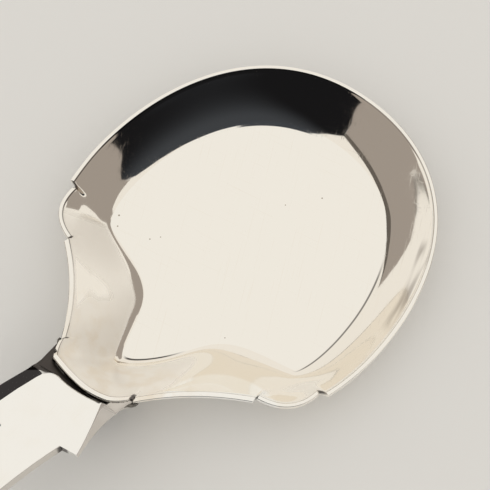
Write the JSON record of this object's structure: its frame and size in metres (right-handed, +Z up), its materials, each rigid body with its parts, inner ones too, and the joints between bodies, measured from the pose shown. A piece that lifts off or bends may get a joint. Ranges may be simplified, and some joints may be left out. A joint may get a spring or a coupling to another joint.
{
  "type": "teaspoon",
  "caption": "Silver tea-caddy style teaspoon with a broad shallow bowl, scalloped and nicked rim, and an arched tapering handle soldered under the bowl; scoops and serves dry or sticky food.",
  "frame": {"origin": "on the table under the middle of the spoon's length and width", "axes": "+X along the spoon from the handle's end to the bowl's tip, +Z up out of the bowl"},
  "size_m": [0.14, 0.044, 0.0136],
  "materials": {
    "bowl_silver": "hand-polished silver with fine scratches",
    "handle_silver": "polished forged silver",
    "solder": "dull silver hard solder"
  },
  "bodies": {
    "root": {"bowl": "bowl_silver", "handle": "handle_silver", "solder_seam": "solder"}
  },
  "joints": []
}
